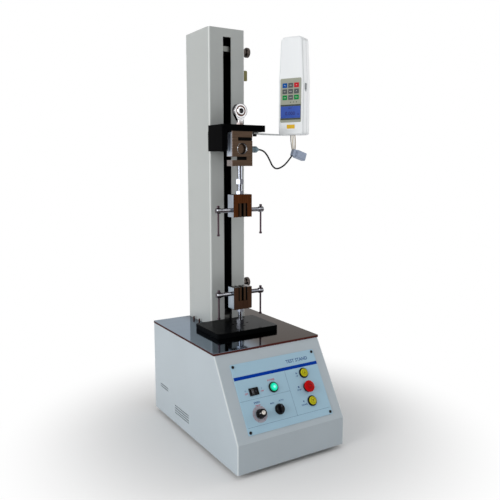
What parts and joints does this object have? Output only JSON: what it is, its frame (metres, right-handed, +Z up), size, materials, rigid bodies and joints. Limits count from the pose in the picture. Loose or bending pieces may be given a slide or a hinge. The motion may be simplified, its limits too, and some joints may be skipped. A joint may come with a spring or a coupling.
{
  "type": "tensile testing machine",
  "caption": "Single-column motor-driven bench stand for tensile tests: S-beam load cell, vice grips with tommy bars, force gauge and sloping control panel.",
  "frame": {"origin": "under the middle of the machine's box, at the feet's undersides; the cord is left out of the box", "axes": "+X to the operator's right, +Y to the back, +Z up the column"},
  "size_m": [0.3472, 0.4284, 0.9638],
  "materials": {
    "cabinet_paint": "light grey textured enamel",
    "column_paint": "light grey enamel",
    "tray_metal": "grey enamel",
    "feet_rubber": "matt",
    "polished_plate": "polished",
    "panel_print": "printed satin",
    "screw_zinc": "zinc plated",
    "black_plastic": "satin black",
    "green_lens": "lit lens",
    "yellow_plastic": "gloss",
    "red_plastic": "gloss",
    "rod_chrome": "polished",
    "machined_aluminium": "milled",
    "motor_paint": "satin",
    "supply_case": "pressed",
    "black_plate": "gloss black",
    "grip_steel": "polished",
    "bar_steel": "blackened",
    "knob_metal": "knurled",
    "gauge_white": "satin white",
    "overlay_film": "printed film",
    "bracket_steel": "brushed",
    "gland_plastic": "satin",
    "cord_black": "satin",
    "leads_plastic": "soft",
    "hood_silver": "metallic grey",
    "ball_steel": "polished"
  },
  "bodies": {
    "machine": {"cabinet_shell": "cabinet_paint", "base_tray": "tray_metal", "rubber_feet": "feet_rubber", "top_plate": "polished_plate", "control_panel": "panel_print", "cover_screws": "screw_zinc", "button_bodies": "black_plastic", "power_lamp": "green_lens", "column_cover": "column_paint", "column_back_cover": "column_paint", "base_bolts": "screw_zinc", "guide_rods": "rod_chrome", "bearing_plates": "machined_aluminium", "drive_motor": "motor_paint", "power_supply": "supply_case", "power_inlet": "black_plastic", "platform": "black_plate", "lower_pull_rod": "rod_chrome", "lower_grip_body": "grip_steel"},
    "crosshead": {"carriage": "black_plate", "crosshead_block": "black_plate", "crosshead_arm": "black_plate", "crosshead_screws": "bar_steel", "load_cell": "grip_steel", "rod_end_housing": "rod_chrome", "upper_pull_rod": "rod_chrome", "upper_grip_body": "grip_steel", "gauge_front_shell": "gauge_white", "gauge_back_shell": "gauge_white", "gauge_overlay": "overlay_film", "gauge_bracket": "bracket_steel", "cord_gland": "gland_plastic", "sensor_cord": "cord_black", "gauge_leads": "leads_plastic", "cord_hood": "hood_silver"},
    "lead_screw": {"lead_screw": "rod_chrome"},
    "rod_end_ball": {"rod_end_ball": "ball_steel"},
    "lower_left_jaw": {"lower_left_jaw": "grip_steel"},
    "lower_left_screw": {"lower_left_screw": "rod_chrome"},
    "lower_left_bar": {"lower_left_bar": "bar_steel"},
    "lower_right_jaw": {"lower_right_jaw": "grip_steel"},
    "lower_right_screw": {"lower_right_screw": "rod_chrome"},
    "lower_right_bar": {"lower_right_bar": "bar_steel"},
    "upper_left_jaw": {"upper_left_jaw": "grip_steel"},
    "upper_left_screw": {"upper_left_screw": "rod_chrome"},
    "upper_left_bar": {"upper_left_bar": "bar_steel"},
    "upper_right_jaw": {"upper_right_jaw": "grip_steel"},
    "upper_right_screw": {"upper_right_screw": "rod_chrome"},
    "upper_right_bar": {"upper_right_bar": "bar_steel"},
    "up_button": {"up_button": "yellow_plastic"},
    "down_button": {"down_button": "yellow_plastic"},
    "stop_button": {"stop_button": "red_plastic"},
    "rocker_switch": {"rocker_switch": "black_plastic"},
    "speed_knob": {"speed_knob": "black_plastic"},
    "selector_knob": {"selector_knob": "black_plastic"},
    "upper_limit_nut": {"upper_limit_nut": "machined_aluminium"},
    "upper_limit_knob": {"upper_limit_knob": "knob_metal"},
    "lower_limit_nut": {"lower_limit_nut": "machined_aluminium"},
    "lower_limit_knob": {"lower_limit_knob": "knob_metal"},
    "gauge_power_switch": {"gauge_power_switch": "black_plastic"}
  },
  "joints": [
    {"name": "crosshead_travel", "type": "slide", "parent": "machine", "child": "crosshead", "axis": [0, 0, 1], "range_m": [-0.12, 0.15]},
    {"name": "screw_turn", "type": "hinge", "parent": "machine", "child": "lead_screw", "pos_m": [-0.02112, 0.13445, 0.242], "axis": [0, 0, 1], "range_deg": [-5410, 4330]},
    {"name": "lower_left_jaw_slide", "type": "slide", "parent": "machine", "child": "lower_left_jaw", "axis": [1, 0, 0], "range_m": [-0.00183, 0.00167]},
    {"name": "lower_left_screw_turn", "type": "hinge", "parent": "lower_left_jaw", "child": "lower_left_screw", "pos_m": [-0.08012, 0.03025, 0.332], "axis": [1, 0, 0], "range_deg": [-441, 403]},
    {"name": "lower_left_bar_slide", "type": "slide", "parent": "lower_left_screw", "child": "lower_left_bar", "axis": [0, 0, 1], "range_m": [0, 0.047]},
    {"name": "lower_right_jaw_slide", "type": "slide", "parent": "machine", "child": "lower_right_jaw", "axis": [-1, 0, 0], "range_m": [-0.00183, 0.00167]},
    {"name": "lower_right_screw_turn", "type": "hinge", "parent": "lower_right_jaw", "child": "lower_right_screw", "pos_m": [0.03788, 0.03025, 0.332], "axis": [-1, 0, 0], "range_deg": [-441, 403]},
    {"name": "lower_right_bar_slide", "type": "slide", "parent": "lower_right_screw", "child": "lower_right_bar", "axis": [0, 0, 1], "range_m": [0, 0.047]},
    {"name": "upper_left_jaw_slide", "type": "slide", "parent": "crosshead", "child": "upper_left_jaw", "axis": [1, 0, 0], "range_m": [-0.00183, 0.00167]},
    {"name": "upper_left_screw_turn", "type": "hinge", "parent": "upper_left_jaw", "child": "upper_left_screw", "pos_m": [-0.08012, 0.03025, 0.5343], "axis": [1, 0, 0], "range_deg": [-441, 403]},
    {"name": "upper_left_bar_slide", "type": "slide", "parent": "upper_left_screw", "child": "upper_left_bar", "axis": [0, 0, 1], "range_m": [0, 0.047]},
    {"name": "upper_right_jaw_slide", "type": "slide", "parent": "crosshead", "child": "upper_right_jaw", "axis": [-1, 0, 0], "range_m": [-0.00183, 0.00167]},
    {"name": "upper_right_screw_turn", "type": "hinge", "parent": "upper_right_jaw", "child": "upper_right_screw", "pos_m": [0.03788, 0.03025, 0.5343], "axis": [-1, 0, 0], "range_deg": [-441, 403]},
    {"name": "upper_right_bar_slide", "type": "slide", "parent": "upper_right_screw", "child": "upper_right_bar", "axis": [0, 0, 1], "range_m": [0, 0.047]},
    {"name": "up_button_press", "type": "slide", "parent": "machine", "child": "up_button", "axis": [0, 0.8524, -0.5229], "range_m": [0, 0.002], "stiffness_N_per_m": 500, "springref_m": -0.001},
    {"name": "down_button_press", "type": "slide", "parent": "machine", "child": "down_button", "axis": [0, 0.8524, -0.5229], "range_m": [0, 0.002], "stiffness_N_per_m": 500, "springref_m": -0.001},
    {"name": "stop_button_press", "type": "slide", "parent": "machine", "child": "stop_button", "axis": [0, 0.8524, -0.5229], "range_m": [0, 0.0025], "stiffness_N_per_m": 500, "springref_m": -0.001},
    {"name": "rocker_tilt", "type": "hinge", "parent": "machine", "child": "rocker_switch", "pos_m": [-0.10232, -0.16068, 0.15845], "axis": [0, -0.5229, -0.8524], "range_deg": [0, 20]},
    {"name": "speed_turn", "type": "hinge", "parent": "machine", "child": "speed_knob", "pos_m": [-0.10232, -0.18732, 0.1179], "axis": [0, -0.8524, 0.5229], "range_deg": [-150, 150]},
    {"name": "selector_turn", "type": "hinge", "parent": "machine", "child": "selector_knob", "pos_m": [-0.05202, -0.18732, 0.1179], "axis": [0, -0.8524, 0.5229], "range_deg": [-45, 45]},
    {"name": "upper_limit_slide", "type": "slide", "parent": "machine", "child": "upper_limit_nut", "axis": [0, 0, 1], "range_m": [-0.25, 0.006]},
    {"name": "upper_limit_turn", "type": "hinge", "parent": "upper_limit_nut", "child": "upper_limit_knob", "pos_m": [0.02838, 0.10745, 0.9163], "axis": [1, 0, 0], "range_deg": [-180, 180]},
    {"name": "lower_limit_slide", "type": "slide", "parent": "machine", "child": "lower_limit_nut", "axis": [0, 0, 1], "range_m": [-0.055, 0.2]},
    {"name": "lower_limit_turn", "type": "hinge", "parent": "lower_limit_nut", "child": "lower_limit_knob", "pos_m": [0.02838, 0.10745, 0.34], "axis": [1, 0, 0], "range_deg": [-180, 180]},
    {"name": "gauge_switch_slide", "type": "slide", "parent": "crosshead", "child": "gauge_power_switch", "axis": [0, 0, -1], "range_m": [0, 0.005]},
    {"name": "eye_swivel", "type": "hinge", "parent": "crosshead", "child": "rod_end_ball", "pos_m": [-0.02112, 0.03025, 0.7666], "axis": [0, 1, 0], "continuous": true}
  ],
  "couplings": [
    {"joint": "screw_turn", "follows": "crosshead_travel", "rad_per_m": -628.32},
    {"joint": "lower_left_screw_turn", "follows": "lower_left_jaw_slide", "rad_per_m": 4188.8},
    {"joint": "lower_right_screw_turn", "follows": "lower_right_jaw_slide", "rad_per_m": 4188.8},
    {"joint": "upper_left_screw_turn", "follows": "upper_left_jaw_slide", "rad_per_m": 4188.8},
    {"joint": "upper_right_screw_turn", "follows": "upper_right_jaw_slide", "rad_per_m": 4188.8}
  ]
}
